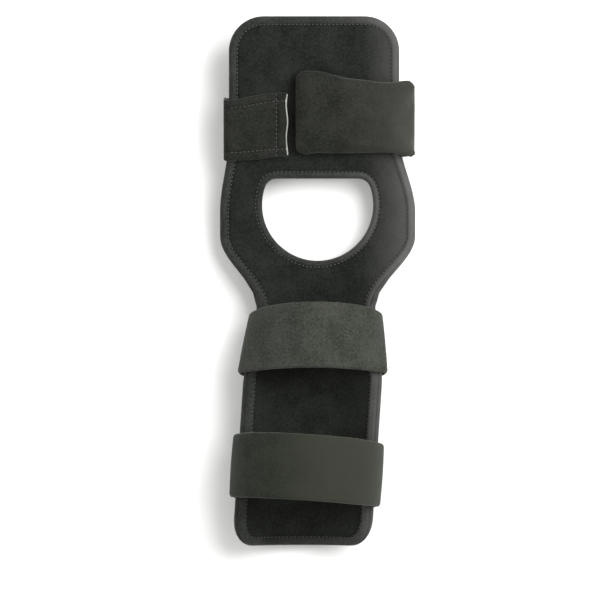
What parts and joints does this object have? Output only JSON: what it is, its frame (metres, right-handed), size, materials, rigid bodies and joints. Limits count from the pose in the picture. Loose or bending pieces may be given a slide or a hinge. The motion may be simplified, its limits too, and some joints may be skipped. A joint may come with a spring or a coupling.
{
  "type": "wrist-hand resting splint",
  "caption": "Padded resting hand splint: curved forearm trough, flat finger pan with a hand hole, and wide hook-and-loop straps over wrist, forearm and fingers.",
  "frame": {"origin": "middle of the footprint, on the surface that the splint lies on", "axes": "+Y distally along the board towards the fingertips, +X to the right seen from the front, +Z out of the front face"},
  "size_m": [0.1408, 0.38, 0.0762],
  "materials": {
    "plush_loop": "brushed plush loop laminate, matte",
    "binding": "turned laminate edge with a stitched groove",
    "strap_laminate": "foam laminate with brushed loop faces",
    "padding_foam": "closed-cell foam",
    "malleable_plate": "mill finish",
    "hook_tape": "moulded nylon hooks on a woven tape",
    "thread": "twisted polyester sewing thread"
  },
  "bodies": {
    "root": {"core_plate": "malleable_plate", "back_foam": "padding_foam", "hole_rim_foam": "padding_foam", "front_foam": "padding_foam", "back_cover": "plush_loop", "front_cover": "plush_loop", "edge_binding": "binding", "hand_hole_binding": "binding", "wrist_strap_fixed": "strap_laminate", "wrist_anchor_hook": "hook_tape", "forearm_strap_fixed": "strap_laminate", "forearm_anchor_hook": "hook_tape", "finger_sling": "strap_laminate"},
    "wrist_flap": {"wrist_strap_flap": "strap_laminate"},
    "wrist_wrap": {"wrist_strap_wrap": "strap_laminate", "wrist_hook_tab": "hook_tape"},
    "forearm_flap": {"forearm_strap_flap": "strap_laminate"},
    "forearm_wrap": {"forearm_strap_wrap": "strap_laminate", "forearm_hook_tab": "hook_tape"},
    "left_tab": {"finger_tab": "strap_laminate", "finger_tab_hook": "hook_tape"},
    "right_pad": {"finger_pad": "strap_laminate", "finger_pad_hook": "hook_tape"}
  },
  "joints": [
    {"name": "wrist_strap_open", "type": "hinge", "parent": "root", "child": "wrist_flap", "pos_m": [-0.00129, -0.03751, 0.06113], "axis": [-0.055, -0.9985, 0], "range_deg": [0, 60]},
    {"name": "wrist_strap_unwrap", "type": "hinge", "parent": "wrist_flap", "child": "wrist_wrap", "pos_m": [0.04929, -0.04324, 0.03416], "axis": [0.03, -0.9671, 0.2528], "range_deg": [0, 120]},
    {"name": "forearm_strap_open", "type": "hinge", "parent": "root", "child": "forearm_flap", "pos_m": [-0.00643, -0.13185, 0.07621], "axis": [-0.0663, -0.9978, 0], "range_deg": [0, 60]},
    {"name": "forearm_strap_unwrap", "type": "hinge", "parent": "forearm_flap", "child": "forearm_wrap", "pos_m": [0.04823, -0.13893, 0.03682], "axis": [-0.0663, -0.9978, 0], "range_deg": [0, 120]},
    {"name": "finger_tab_peel", "type": "hinge", "parent": "root", "child": "left_tab", "pos_m": [-0.06741, 0.11262, 0.03275], "axis": [0, -0.9903, -0.1392], "range_deg": [0, 150]},
    {"name": "finger_pad_peel", "type": "hinge", "parent": "root", "child": "right_pad", "pos_m": [0.07055, 0.11262, 0.03275], "axis": [0, 0.9903, 0.1392], "range_deg": [0, 110]}
  ],
  "couplings": [
    {"joint": "wrist_strap_unwrap", "follows": "wrist_strap_open", "ratio": 2},
    {"joint": "forearm_strap_unwrap", "follows": "forearm_strap_open", "ratio": 2}
  ]
}
